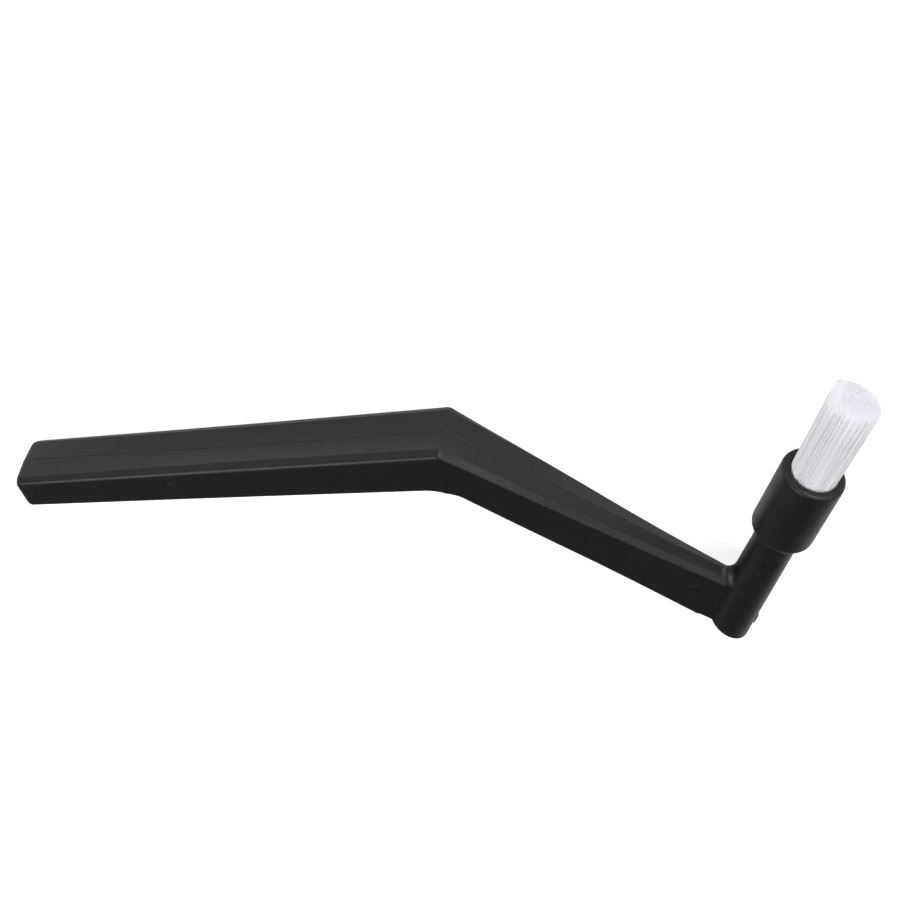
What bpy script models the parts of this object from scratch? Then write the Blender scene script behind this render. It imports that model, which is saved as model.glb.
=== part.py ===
# Coffee machine brush: a bent plastic handle with a round post at its end, a cup pushed
# onto the post's spigot, and a round bundle of nylon bristles set in the cup.
# It lies on its side, with its bend plane level. The grip runs along +X from the bend,
# and the handle's spine faces -Y.

import math
from collections import namedtuple

import bmesh
import bpy
from mathutils import Matrix, Vector

OBJECT_NAME = "coffee_machine_brush"

# Lengths are in metres and angles in degrees.
# Side outline of the handle
GRIP_LENGTH = 0.1126
NECK_LENGTH = 0.08675
BEND_ANGLE = 43.7
POST_ANGLE = 106.0
SPINE_BEND_RADIUS = 0.0019
BELLY_BEND_RADIUS = 0.011
GRIP_END_DEPTH = 0.0093
GRIP_BEND_DEPTH = 0.0127
NECK_BEND_DEPTH = 0.0101
NECK_POST_DEPTH = 0.0166
GRIP_END_ROUNDING = 0.0019

# Cross-sections of the handle: full widths, and the raised or hollow line of its spine
GRIP_END_WIDTH = 0.0153
GRIP_MIDDLE_WIDTH = 0.0158
BEND_WIDTH = 0.0168
NECK_MIDDLE_WIDTH = 0.0134
NECK_OUTER_WIDTH = 0.0091
NECK_END_WIDTH = 0.0058
GRIP_END_FACET = 0.0015
GRIP_FACET = 0.0021
NECK_FACET = 0.0014
GRIP_FACET_DROP = 0.0009
NECK_FACET_DROP = 0.0013
GRIP_END_CROWN = 0.0003
GRIP_HOLLOW = 0.0006
NECK_MIDDLE_CROWN = 0.0005
NECK_OUTER_CROWN = 0.0010
NECK_END_CROWN = 0.0013
NECK_MIDDLE_EDGE_DROP = 0.0005
NECK_OUTER_EDGE_DROP = 0.0015
NECK_END_EDGE_DROP = 0.0018
SPINE_EDGE_ROUNDING = 0.0003
RIDGE_ROUNDING = 0.0005
BELLY_ROUNDING = 0.0012
NECK_END_BELLY_ROUNDING = 0.0006

# Post and spigot
POST_FOOT_DIAMETER = 0.0112
POST_TOP_DIAMETER = 0.01055
POST_FOOT_DEPTH = 0.0169
POST_ABOVE_SPINE = 0.0196
POST_FOOT_ROUNDING = 0.0004
POST_FOOT_LEDGE = 0.0005
POST_FILLET = 0.0026
SPIGOT_DIAMETER = 0.0090
SPIGOT_LENGTH = 0.0105
SPIGOT_CHAMFER = 0.0008
FIT_GAP = 0.00015
SEAT_GAP = 0.0003

# Cup
CUP_DIAMETER = 0.0155
CUP_LENGTH = 0.02215
CUP_FOOT_ROUNDING = 0.0025
CUP_RIM_ROUNDING = 0.0012
CUP_BORE_DIAMETER = 0.0113
CUP_WEB = 0.0020
SOCKET_CHAMFER = 0.0004

# Bristles
BRISTLE_REACH = 0.0246
BRISTLE_TIP_DIAMETER = 0.0122
BRISTLE_TIP_SLOPE = 4.0
BRISTLE_BACKING = 0.0025
BRISTLE_ROOT_MARGIN = 0.0006
STRAND_DIAMETER = 0.00036
STRAND_COUNT = 400
STRAND_SIDES = 3

# Marks of the mould: ejector pins on the upper side face, and the gate on the post
PIN_DIAMETER = 0.0034
PIN_DEPTH = 0.00015
GRIP_PIN_FROM_END = 0.0420
GRIP_PIN_BELOW_SPINE = 0.0050
BEND_PIN_FROM_BEND = 0.0152
BEND_PIN_BELOW_SPINE = 0.0054
POST_PIN_FROM_POST = 0.0113
POST_PIN_BELOW_SPINE = 0.0085
POST_DIMPLE_DIAMETER = 0.0040
POST_DIMPLE_DEPTH = 0.0006
POST_DIMPLE_ABOVE_SPINE = 0.0130
GATE_LENGTH = 0.0032
GATE_WIDTH = 0.0012
GATE_HEIGHT = 0.0005
GATE_BELOW_SPINE = 0.0139

# Shares and counts, which no size changes
GRIP_MIDDLE_SHARE = 0.53
NECK_MIDDLE_SHARE = 0.32
NECK_OUTER_SHARE = 0.69
HALF_TURN_SHARE = 0.5
FILLET_STEP_SHARES = (1.0, 0.75, 0.52, 0.32, 0.16, 0.0)
WALL_STEP_SHARES = (0.94, 0.87, 0.80, 0.72, 0.45)
FILLET_START_SHARE = 0.08
FILLET_HALVINGS = 20
CORNER_STEPS = 3
BEND_STEPS = 10
SPINE_BEND_STEPS = 2
END_STEPS = 5
ROUND_STEPS = 6
MERGE_DISTANCE = 0.000001
TURN_SEGMENTS = 48
PIN_SEGMENTS = 24
SHARP_ANGLE = 32.0

Section = namedtuple("Section", "half_width facet facet_drop crown edge_drop belly_rounding")

GRIP_END = Section(
    GRIP_END_WIDTH / 2, GRIP_END_FACET, GRIP_FACET_DROP, GRIP_END_CROWN, 0, BELLY_ROUNDING
)
GRIP_MIDDLE = Section(
    GRIP_MIDDLE_WIDTH / 2, GRIP_FACET, GRIP_FACET_DROP, -GRIP_HOLLOW, 0, BELLY_ROUNDING
)
BEND = Section(BEND_WIDTH / 2, GRIP_FACET, GRIP_FACET_DROP, -GRIP_HOLLOW, 0, BELLY_ROUNDING)
NECK_MIDDLE = Section(
    NECK_MIDDLE_WIDTH / 2,
    NECK_FACET,
    NECK_FACET_DROP,
    NECK_MIDDLE_CROWN,
    NECK_MIDDLE_EDGE_DROP,
    BELLY_ROUNDING,
)
NECK_OUTER = Section(
    NECK_OUTER_WIDTH / 2,
    NECK_FACET,
    NECK_FACET_DROP,
    NECK_OUTER_CROWN,
    NECK_OUTER_EDGE_DROP,
    BELLY_ROUNDING,
)
NECK_END = Section(
    NECK_END_WIDTH / 2,
    NECK_FACET,
    NECK_FACET_DROP,
    NECK_END_CROWN,
    NECK_END_EDGE_DROP,
    NECK_END_BELLY_ROUNDING,
)
# Each arm's sections, from the bend outwards, by their share of its length
GRIP_STATIONS = ((0, BEND), (GRIP_MIDDLE_SHARE, GRIP_MIDDLE), (1, GRIP_END))
NECK_STATIONS = (
    (0, BEND),
    (NECK_MIDDLE_SHARE, NECK_MIDDLE),
    (NECK_OUTER_SHARE, NECK_OUTER),
    (1, NECK_END),
)

# Directions in the bend plane, with the bend's outer corner at the origin
GRIP_WAY = Vector((1, 0))
GRIP_INWARD = Vector((0, 1))
NECK_WAY = Vector((-math.cos(math.radians(BEND_ANGLE)), math.sin(math.radians(BEND_ANGLE))))
NECK_INWARD = Vector((math.sin(math.radians(BEND_ANGLE)), math.cos(math.radians(BEND_ANGLE))))
POST_WAY = Matrix.Rotation(math.radians(POST_ANGLE), 2) @ NECK_WAY
POST_OUTWARD = Vector((POST_WAY.y, -POST_WAY.x))
POST_CROSSING = NECK_WAY * NECK_LENGTH


def clear_scene():
    for obj in list(bpy.data.objects):
        bpy.data.objects.remove(obj, do_unlink=True)


def make_collection(name, hidden=False):
    collection = bpy.data.collections.new(name)
    bpy.context.scene.collection.children.link(collection)
    collection.hide_render = hidden
    return collection


def make_material(name, colour, roughness):
    material = bpy.data.materials.new(name)
    material.use_nodes = True
    shader = material.node_tree.nodes["Principled BSDF"]
    shader.inputs["Base Color"].default_value = (*colour, 1)
    shader.inputs["Roughness"].default_value = roughness
    shader.inputs["Metallic"].default_value = 0
    return material


def add_object(name, mesh, collection, material=None):
    obj = bpy.data.objects.new(name, mesh)
    collection.objects.link(obj)
    if material:
        mesh.materials.append(material)
    return obj


def add_cutter(name, mesh):
    cutter = add_object(name, mesh, CUTTERS)
    cutter.hide_render = True
    cutter.display_type = "WIRE"
    return cutter


def combine(target, tool, operation):
    modifier = target.modifiers.new(tool.name, "BOOLEAN")
    modifier.operation = operation
    modifier.solver = "EXACT"
    modifier.object = tool


def evaluated_mesh(obj):
    bpy.context.view_layer.update()
    graph = bpy.context.evaluated_depsgraph_get()
    return bpy.data.meshes.new_from_object(obj.evaluated_get(graph))


def shade(mesh):
    mesh.shade_smooth()
    mesh.set_sharp_from_angle(angle=math.radians(SHARP_ANGLE))


def post_matrix(height):
    """Local Z along the post, upwards from the neck's spine; local X points away from the neck."""
    turn = Matrix(
        (
            (POST_OUTWARD.x, 0, POST_WAY.x),
            (POST_OUTWARD.y, 0, POST_WAY.y),
            (0, -1, 0),
        )
    )
    place = POST_CROSSING + POST_WAY * height
    return Matrix.Translation((place.x, place.y, 0)) @ turn.to_4x4()


def line_meeting(start_a, way_a, start_b, way_b):
    """Where two lines in the bend plane cross."""
    cross = way_a.x * way_b.y - way_a.y * way_b.x
    gap = start_b - start_a
    return start_a + way_a * ((gap.x * way_b.y - gap.y * way_b.x) / cross)


def arc_between(corner, way_in, way_out, radius, steps):
    """Points of the arc that rounds a corner, from the line coming in to the line going out."""
    turn = way_in.angle(way_out)
    reach = radius * math.tan(turn / 2)
    start = corner - way_in * reach
    side = way_out - way_in * way_in.dot(way_out)
    centre = start + side.normalized() * radius
    points = []
    for step in range(steps + 1):
        angle = turn * step / steps
        from_centre = (start - centre) * math.cos(angle) + way_in * (radius * math.sin(angle))
        points.append(centre + from_centre)
    return points


def quarter_round(centre, radius, start, steps):
    """Points of a quarter circle in a turned outline, going round from an angle in degrees."""
    points = []
    for step in range(steps + 1):
        angle = math.radians(start + 90 * step / steps)
        points.append(centre + Vector((math.cos(angle), math.sin(angle))) * radius)
    return points


def between(first, second, share):
    return Section(*(a + (b - a) * share for a, b in zip(first, second)))


def section_at(stations, share):
    """The section at a share of an arm's length, from the sections on either side of it."""
    for (start, first), (end, second) in zip(stations, stations[1:]):
        if share <= end:
            break
    return between(first, second, (share - start) / (end - start))


def grip_section(distance):
    """The handle's section at a distance from the bend along the grip."""
    return section_at(GRIP_STATIONS, distance / GRIP_LENGTH)


def neck_section(distance):
    """The handle's section at a distance from the bend along the neck."""
    return section_at(NECK_STATIONS, distance / NECK_LENGTH)


def post_radius(height):
    """The drafted post's radius at a height above the neck's spine."""
    foot = -POST_FOOT_DEPTH
    share = (height - foot) / (POST_ABOVE_SPINE - foot)
    return (POST_FOOT_DIAMETER + (POST_TOP_DIAMETER - POST_FOOT_DIAMETER) * share) / 2


def facing(way):
    """The outward normal of an outline that runs from the spine round to the belly."""
    return Vector((way.y, -way.x))


def half_outline(section, depth, inset):
    """Points of half the section as (across, inward), each with the way that it swells."""
    half_width = section.half_width - inset
    edge = Vector((half_width - section.facet, section.edge_drop + inset))
    ridge = Vector((half_width, edge.y + section.facet_drop))
    belly = Vector((half_width, depth - inset))
    apex = Vector((0, edge.y - section.crown))
    foot = Vector((0, belly.y))
    corners = (
        (apex, edge, ridge, SPINE_EDGE_ROUNDING),
        (edge, ridge, belly, RIDGE_ROUNDING),
        (ridge, belly, foot, section.belly_rounding),
    )
    points = [(apex, Vector((0, -1)))]
    for before, corner, after, rounding in corners:
        way_in = (corner - before).normalized()
        way_out = (after - corner).normalized()
        normals = facing(way_in), facing(way_out)
        swell = (normals[0] + normals[1]) / (1 + normals[0].dot(normals[1]))
        rounded = arc_between(corner, way_in, way_out, rounding, CORNER_STEPS)
        points += [(point, swell) for point in rounded]
    return points


def fillet_rise(point, swell):
    """How far a point of the neck moves out to lie on the fillet that meets the post's wall."""
    low, high = 0, POST_FILLET
    for _ in range(FILLET_HALVINGS):
        rise = (low + high) / 2
        moved = point + swell * rise
        flat = Vector((moved.x, moved.y)) - POST_CROSSING
        across = math.hypot(flat.dot(POST_OUTWARD), moved.z)
        gap = max(across - post_radius(flat.dot(POST_WAY)), POST_FILLET * FILLET_START_SHARE)
        reach = max(POST_FILLET - gap, 0)
        if rise < POST_FILLET - math.sqrt(POST_FILLET**2 - reach**2):
            low = rise
        else:
            high = rise
    return low


def ring_points(spine, belly, section, inset=0, at_post=False):
    """One closed ring of the handle, from its spine's middle round both sides."""
    inward = (belly - spine).normalized()
    placed = []
    for point, swell in half_outline(section, (belly - spine).length, inset):
        flat = spine + inward * point.y
        place = Vector((flat.x, flat.y, point.x))
        if at_post:
            way = Vector((*(inward * min(swell.y, 0)), swell.x))
            place += way * fillet_rise(place, way)
        placed.append(place)
    mirrored = [Vector((p.x, p.y, -p.z)) for p in reversed(placed[1:])]
    return placed + mirrored


def grip_rings(belly_start, belly_way, bend_distance):
    """Rings from the rounded free end of the grip to where the bend starts."""
    stations = []
    for step in range(END_STEPS + 1):
        angle = math.radians(90 * (1 - step / END_STEPS))
        inset = GRIP_END_ROUNDING * (1 - math.cos(angle))
        along = GRIP_LENGTH - GRIP_END_ROUNDING * (1 - math.sin(angle))
        stations.append((along, inset))
    stations += [(GRIP_LENGTH * GRIP_MIDDLE_SHARE, 0), (bend_distance, 0)]
    rings = []
    for along, inset in stations:
        spine = GRIP_WAY * along
        belly = line_meeting(spine, GRIP_INWARD, belly_start, belly_way)
        rings.append(ring_points(spine, belly, grip_section(along), inset))
    return rings


def bend_rings(belly_arc, grip_distance, neck_distance):
    """Rings that fan round the bend, from the spine's tight arc to the belly's wide one."""
    spine_arc = arc_between(Vector((0, 0)), -GRIP_WAY, NECK_WAY, SPINE_BEND_RADIUS, SPINE_BEND_STEPS)
    arc_reach = spine_arc[0].length
    straight = (BEND_STEPS - SPINE_BEND_STEPS) // 2
    rings = []
    for step in range(1, BEND_STEPS):
        if step < straight:
            distance = grip_distance + (arc_reach - grip_distance) * step / straight
            spine, section = GRIP_WAY * distance, grip_section(distance)
        elif step <= straight + SPINE_BEND_STEPS:
            spine, section = spine_arc[step - straight], BEND
        else:
            distance = neck_distance + (arc_reach - neck_distance) * (BEND_STEPS - step) / straight
            spine, section = NECK_WAY * distance, neck_section(distance)
        rings.append(ring_points(spine, belly_arc[step], section))
    return rings


def neck_rings(belly_start, belly_way, bend_distance):
    """Rings along the neck, then turned to lie along the post, whose wall they swell to meet."""
    lowest = POST_FOOT_DEPTH - POST_FOOT_LEDGE
    foot_radius = POST_FOOT_DIAMETER / 2
    lean = math.sin(math.radians(POST_ANGLE))
    from_axis = [foot_radius + POST_FILLET * share for share in FILLET_STEP_SHARES]
    from_axis += [foot_radius * share for share in WALL_STEP_SHARES]
    middle = NECK_LENGTH * NECK_MIDDLE_SHARE
    outer = NECK_LENGTH * NECK_OUTER_SHARE
    at_post = [NECK_LENGTH - offset / lean for offset in from_axis]
    half_turned = (NECK_INWARD - POST_WAY) * HALF_TURN_SHARE
    stations = [(bend_distance, NECK_INWARD), (middle, NECK_INWARD), (outer, NECK_INWARD)]
    stations.append(((outer + at_post[0]) / 2, half_turned))
    stations += [(distance, -POST_WAY) for distance in at_post]
    rings = []
    for distance, inward in stations:
        spine = NECK_WAY * distance
        belly = line_meeting(spine, inward, belly_start, belly_way)
        if belly.dot(NECK_INWARD) > lowest:
            belly = line_meeting(spine, inward, NECK_INWARD * lowest, NECK_WAY)
        rings.append(ring_points(spine, belly, neck_section(distance), at_post=distance in at_post))
    return rings


def loft(name, rings):
    """A closed mesh through rings of equal length, with a flat cap at each end."""
    shape = bmesh.new()
    rows = [[shape.verts.new(point) for point in ring] for ring in rings]
    count = len(rows[0])
    for near, far in zip(rows, rows[1:]):
        for index in range(count):
            after = (index + 1) % count
            shape.faces.new((near[index], near[after], far[after], far[index]))
    shape.faces.new(reversed(rows[0]))
    shape.faces.new(rows[-1])
    bmesh.ops.recalc_face_normals(shape, faces=shape.faces)
    mesh = bpy.data.meshes.new(name)
    shape.to_mesh(mesh)
    shape.free()
    return mesh


def turned_mesh(name, outline):
    """A solid turned about its local Z from an outline of (radius, height) points."""
    shape = bmesh.new()
    points = [shape.verts.new((point.x, 0, point.y)) for point in outline]
    for first, second in zip(points, points[1:]):
        shape.edges.new((first, second))
    profile_mesh = bpy.data.meshes.new(name)
    shape.to_mesh(profile_mesh)
    shape.free()
    profile = add_object(name, profile_mesh, CUTTERS)
    screw = profile.modifiers.new("turn", "SCREW")
    screw.steps = TURN_SEGMENTS
    screw.render_steps = TURN_SEGMENTS
    screw.use_merge_vertices = True
    screw.merge_threshold = MERGE_DISTANCE
    screw.use_normal_calculate = True
    mesh = evaluated_mesh(profile)
    bpy.data.objects.remove(profile)
    return mesh


def post_outline():
    """Outline of the post and its spigot, from the top down, with zero at the neck's spine."""
    spigot_radius = SPIGOT_DIAMETER / 2
    spigot_top = POST_ABOVE_SPINE + SPIGOT_LENGTH
    uncut_foot = -POST_FOOT_DEPTH - POST_FOOT_DIAMETER
    return [
        Vector((0, spigot_top)),
        Vector((spigot_radius - SPIGOT_CHAMFER, spigot_top)),
        Vector((spigot_radius, spigot_top - SPIGOT_CHAMFER)),
        Vector((spigot_radius, POST_ABOVE_SPINE)),
        Vector((post_radius(POST_ABOVE_SPINE), POST_ABOVE_SPINE)),
        Vector((post_radius(uncut_foot), uncut_foot)),
        Vector((0, uncut_foot)),
    ]


def cut_foot(mesh):
    """Cuts the post's foot parallel to the neck's spine, and rounds the edge of the cut."""
    normal = Vector((NECK_INWARD.dot(POST_OUTWARD), 0, NECK_INWARD.dot(POST_WAY)))
    shape = bmesh.new()
    shape.from_mesh(mesh)
    bmesh.ops.bisect_plane(
        shape,
        geom=[*shape.verts, *shape.edges, *shape.faces],
        plane_co=normal * POST_FOOT_DEPTH,
        plane_no=normal,
        clear_outer=True,
    )
    rim = [edge for edge in shape.edges if edge.is_boundary]
    bmesh.ops.holes_fill(shape, edges=rim, sides=len(rim))
    bmesh.ops.bevel(
        shape,
        geom=rim,
        offset=POST_FOOT_ROUNDING,
        offset_type="OFFSET",
        segments=CORNER_STEPS,
        profile=0.5,
        affect="EDGES",
    )
    shape.to_mesh(mesh)
    shape.free()


def cup_outline():
    """Outline of the cup from its web's top, over the rim and down to the web's underside."""
    radius = CUP_DIAMETER / 2
    bore = CUP_BORE_DIAMETER / 2
    socket = SPIGOT_DIAMETER / 2 + FIT_GAP
    socket_top = SPIGOT_LENGTH
    web_top = socket_top + CUP_WEB
    rim = quarter_round(
        Vector((radius - CUP_RIM_ROUNDING, CUP_LENGTH - CUP_RIM_ROUNDING)),
        CUP_RIM_ROUNDING,
        0,
        ROUND_STEPS,
    )
    foot = quarter_round(
        Vector((radius - CUP_FOOT_ROUNDING, CUP_FOOT_ROUNDING)), CUP_FOOT_ROUNDING, -90, ROUND_STEPS
    )
    return [
        Vector((0, web_top)),
        Vector((bore, web_top)),
        Vector((bore, CUP_LENGTH)),
        *reversed(rim),
        *reversed(foot),
        Vector((socket + SOCKET_CHAMFER, 0)),
        Vector((socket, SOCKET_CHAMFER)),
        Vector((socket, socket_top)),
        Vector((0, socket_top)),
    ]


def disc_mesh(name, diameter, height, segments):
    """A plain cylinder standing on its local origin."""
    shape = bmesh.new()
    bmesh.ops.create_cone(
        shape,
        cap_ends=True,
        segments=segments,
        radius1=diameter / 2,
        radius2=diameter / 2,
        depth=height,
        matrix=Matrix.Translation((0, 0, height / 2)),
    )
    mesh = bpy.data.meshes.new(name)
    shape.to_mesh(mesh)
    shape.free()
    return mesh


def cut_pin_marks(handle):
    """Shallow round marks in the upper side face of the grip and the neck."""
    grip_along = GRIP_LENGTH - GRIP_PIN_FROM_END
    post_along = NECK_LENGTH - POST_PIN_FROM_POST
    marks = (
        ("grip_pin", GRIP_WAY, GRIP_INWARD, grip_along, GRIP_PIN_BELOW_SPINE, grip_section),
        ("bend_pin", NECK_WAY, NECK_INWARD, BEND_PIN_FROM_BEND, BEND_PIN_BELOW_SPINE, neck_section),
        ("post_pin", NECK_WAY, NECK_INWARD, post_along, POST_PIN_BELOW_SPINE, neck_section),
    )
    for name, way, inward, along, below, section in marks:
        before = section(along - PIN_DIAMETER / 2).half_width
        after = section(along + PIN_DIAMETER / 2).half_width
        slope = (after - before) / PIN_DIAMETER
        normal = Vector((-way.x * slope, -way.y * slope, 1)).normalized()
        place = way * along + inward * below
        floor = Vector((place.x, place.y, (before + after) / 2)) - normal * PIN_DEPTH
        cutter = add_cutter(name, disc_mesh(name, PIN_DIAMETER, PIN_DIAMETER, PIN_SEGMENTS))
        cutter.rotation_euler = normal.to_track_quat("Z", "Y").to_euler()
        cutter.location = floor
        combine(handle, cutter, "DIFFERENCE")


def cut_post_dimple(handle):
    """The deeper round mark in the upper side of the post."""
    name = "post_dimple"
    cutter = add_cutter(name, disc_mesh(name, POST_DIMPLE_DIAMETER, POST_FOOT_DIAMETER, PIN_SEGMENTS))
    place = POST_CROSSING + POST_WAY * POST_DIMPLE_ABOVE_SPINE
    cutter.location = (place.x, place.y, post_radius(POST_DIMPLE_ABOVE_SPINE) - POST_DIMPLE_DEPTH)
    combine(handle, cutter, "DIFFERENCE")


def add_gate_nub(handle):
    """What is left of the moulding gate, on the post's side away from the neck."""
    shape = bmesh.new()
    bmesh.ops.create_cube(shape, size=1)
    mesh = bpy.data.meshes.new("gate_nub")
    reach = post_radius(-GATE_BELOW_SPINE) + GATE_HEIGHT
    bmesh.ops.transform(shape, matrix=Matrix.Diagonal((reach, GATE_WIDTH, GATE_LENGTH, 1)), verts=shape.verts)
    bmesh.ops.translate(shape, vec=(reach / 2, 0, 0), verts=shape.verts)
    shape.to_mesh(mesh)
    shape.free()
    nub = add_cutter("gate_nub", mesh)
    nub.matrix_world = post_matrix(-GATE_BELOW_SPINE)
    combine(handle, nub, "UNION")


def make_handle():
    """Grip, neck and post as one moulding."""
    grip_way_in = (Vector((0, GRIP_BEND_DEPTH)) - Vector((GRIP_LENGTH, GRIP_END_DEPTH))).normalized()
    post_wall = NECK_LENGTH - POST_FOOT_DIAMETER / 2
    neck_start = NECK_INWARD * NECK_BEND_DEPTH
    neck_way_out = (NECK_WAY * post_wall + NECK_INWARD * NECK_POST_DEPTH - neck_start).normalized()
    grip_start = Vector((0, GRIP_BEND_DEPTH))
    corner = line_meeting(grip_start, grip_way_in, neck_start, neck_way_out)
    belly_arc = arc_between(corner, grip_way_in, neck_way_out, BELLY_BEND_RADIUS, BEND_STEPS)
    grip_bend = belly_arc[0].x
    neck_bend = belly_arc[-1].dot(NECK_WAY)
    rings = grip_rings(grip_start, grip_way_in, grip_bend)
    rings += bend_rings(belly_arc, grip_bend, neck_bend)
    rings += neck_rings(neck_start, neck_way_out, neck_bend)
    handle = add_object("handle", loft("handle", rings), PARTS, BLACK)
    post = add_cutter("post", turned_mesh("post", post_outline()))
    cut_foot(post.data)
    post.matrix_world = post_matrix(0)
    combine(handle, post, "UNION")
    add_gate_nub(handle)
    cut_pin_marks(handle)
    cut_post_dimple(handle)
    return handle


def strand_mesh():
    """The strands, fanned from a sunflower pattern, their tips cut by one sloping plane."""
    root_height = SPIGOT_LENGTH + CUP_WEB + SEAT_GAP + BRISTLE_BACKING / 2
    tip_height = CUP_LENGTH + BRISTLE_REACH
    root_radius = CUP_BORE_DIAMETER / 2 - BRISTLE_ROOT_MARGIN
    tip_radius = BRISTLE_TIP_DIAMETER / 2 - STRAND_DIAMETER / 2
    slope = math.tan(math.radians(BRISTLE_TIP_SLOPE))
    golden = math.pi * (3 - math.sqrt(5))
    shape = bmesh.new()
    for index in range(STRAND_COUNT):
        share = math.sqrt((index + 0.5) / STRAND_COUNT)
        angle = index * golden
        way = Vector((math.cos(angle), math.sin(angle), 0))
        root = way * (root_radius * share)
        tip = way * (tip_radius * share)
        root.z = root_height
        tip.z = tip_height - tip.x * slope
        add_strand(shape, root, tip, angle)
    mesh = bpy.data.meshes.new("strands")
    shape.to_mesh(mesh)
    shape.free()
    return mesh


def add_strand(shape, root, tip, angle):
    """One straight strand with a flat tip."""
    ends = []
    for centre in (root, tip):
        corners = []
        for side in range(STRAND_SIDES):
            turn = angle + 2 * math.pi * side / STRAND_SIDES
            offset = Vector((math.cos(turn), math.sin(turn), 0)) * (STRAND_DIAMETER / 2)
            corners.append(shape.verts.new(centre + offset))
        ends.append(corners)
    low, high = ends
    for side in range(STRAND_SIDES):
        after = (side + 1) % STRAND_SIDES
        shape.faces.new((low[side], low[after], high[after], high[side]))
    shape.faces.new(reversed(low))
    shape.faces.new(high)


def make_bristles():
    """The bundle of strands with the disc of resin that holds their roots."""
    diameter = CUP_BORE_DIAMETER - 2 * FIT_GAP
    backing = disc_mesh("bristle_bundle", diameter, BRISTLE_BACKING, TURN_SEGMENTS)
    bundle = add_object("bristle_bundle", backing, PARTS, NYLON)
    lift = Matrix.Translation((0, 0, SPIGOT_LENGTH + CUP_WEB + SEAT_GAP))
    backing.transform(lift)
    strands = add_cutter("strands", strand_mesh())
    place = post_matrix(POST_ABOVE_SPINE + SEAT_GAP)
    bundle.matrix_world = place
    strands.matrix_world = place
    combine(bundle, strands, "UNION")
    return bundle


def make_cup():
    """The cup, whose lower bore fits the spigot and whose upper bore holds the bristles."""
    cup = add_object("brush_cup", turned_mesh("brush_cup", cup_outline()), PARTS, BLACK)
    cup.matrix_world = post_matrix(POST_ABOVE_SPINE + SEAT_GAP)
    return cup


def settle(pieces):
    """Fixes each piece's mesh, and moves all so that the box's bottom centre is the origin."""
    corners = []
    for piece in pieces:
        mesh = evaluated_mesh(piece)
        shade(mesh)
        piece.modifiers.clear()
        piece.data = mesh
        corners += [piece.matrix_world @ vertex.co for vertex in mesh.vertices]
    lows = Vector(min(corner[axis] for corner in corners) for axis in range(3))
    highs = Vector(max(corner[axis] for corner in corners) for axis in range(3))
    return Vector(((lows.x + highs.x) / 2, (lows.y + highs.y) / 2, lows.z))


def add_empty(name, matrix):
    empty = bpy.data.objects.new(name, None)
    PARTS.objects.link(empty)
    empty.matrix_world = matrix
    return empty


def hang(child, parent):
    bpy.context.view_layer.update()
    child.parent = parent
    child.matrix_parent_inverse = parent.matrix_world.inverted()


clear_scene()
PARTS = make_collection(OBJECT_NAME)
CUTTERS = make_collection("cutters", hidden=True)
BLACK = make_material("black_plastic", (0.012, 0.012, 0.013), 0.42)
NYLON = make_material("white_nylon", (0.78, 0.79, 0.84), 0.38)

handle_piece = make_handle()
cup_piece = make_cup()
bristle_piece = make_bristles()
base = settle([handle_piece, cup_piece, bristle_piece])

brush_root = add_empty("brush_root", Matrix.Identity(4))
head_axis = add_empty("head_axis", post_matrix(POST_ABOVE_SPINE + SEAT_GAP))
for piece in (cup_piece, bristle_piece):
    hang(piece, head_axis)
for piece in (handle_piece, head_axis):
    hang(piece, brush_root)
brush_root.location = -base
bpy.context.view_layer.update()
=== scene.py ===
import math
import random

import bmesh
import bpy
import numpy as np
from mathutils import Matrix, Vector, noise


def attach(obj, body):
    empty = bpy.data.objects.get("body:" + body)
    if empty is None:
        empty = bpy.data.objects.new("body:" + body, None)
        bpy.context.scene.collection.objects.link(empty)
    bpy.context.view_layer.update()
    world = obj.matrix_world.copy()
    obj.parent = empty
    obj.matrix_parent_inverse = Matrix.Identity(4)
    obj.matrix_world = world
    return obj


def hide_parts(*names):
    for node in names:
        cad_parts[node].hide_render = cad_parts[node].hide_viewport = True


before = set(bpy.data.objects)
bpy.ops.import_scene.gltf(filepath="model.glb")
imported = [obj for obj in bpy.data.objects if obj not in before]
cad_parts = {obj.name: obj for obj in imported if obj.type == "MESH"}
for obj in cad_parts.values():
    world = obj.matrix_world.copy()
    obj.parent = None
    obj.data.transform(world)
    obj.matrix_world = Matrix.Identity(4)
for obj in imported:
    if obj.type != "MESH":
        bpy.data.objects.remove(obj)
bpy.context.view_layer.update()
print("frame loaded")

# The bend's outer corner, half way up the handle's thickness: all the handle's sizes start here.
# Lengths are in metres and angles in degrees
bendCorner = Vector((-0.0068768, -0.0385485, 0.0084))
origin = Vector((0, 0))


def deselectAll():
    if bpy.context.mode != "OBJECT":
        bpy.ops.object.mode_set(mode="OBJECT")
    bpy.ops.object.select_all(action="DESELECT")


def selectAlone(piece):
    deselectAll()
    piece.select_set(True)
    bpy.context.view_layer.objects.active = piece


def editAlone(piece):
    selectAlone(piece)
    bpy.ops.object.mode_set(mode="EDIT")


# Only the verts, edges or faces that pass the test end up selected
def selectWhere(piece, kind, test):
    shape = bmesh.from_edit_mesh(piece.data)
    bpy.context.tool_settings.mesh_select_mode = (kind == "verts", kind == "edges", kind == "faces")
    for part in (*shape.faces, *shape.edges, *shape.verts):
        part.select_set(False)
    for part in getattr(shape, kind):
        if test(part):
            part.select_set(True)
    shape.select_flush_mode()
    bmesh.update_edit_mesh(piece.data)


def applyPlace(piece):
    selectAlone(piece)
    bpy.ops.object.transform_apply(location=True, rotation=True, scale=True)


def booleanApply(piece, tool, operation):
    selectAlone(piece)
    cut = piece.modifiers.new("cut", "BOOLEAN")
    cut.operation = operation
    cut.solver = "MANIFOLD"
    cut.object = tool
    bpy.ops.object.modifier_apply(modifier="cut")
    bpy.data.objects.remove(tool, do_unlink=True)


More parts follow.
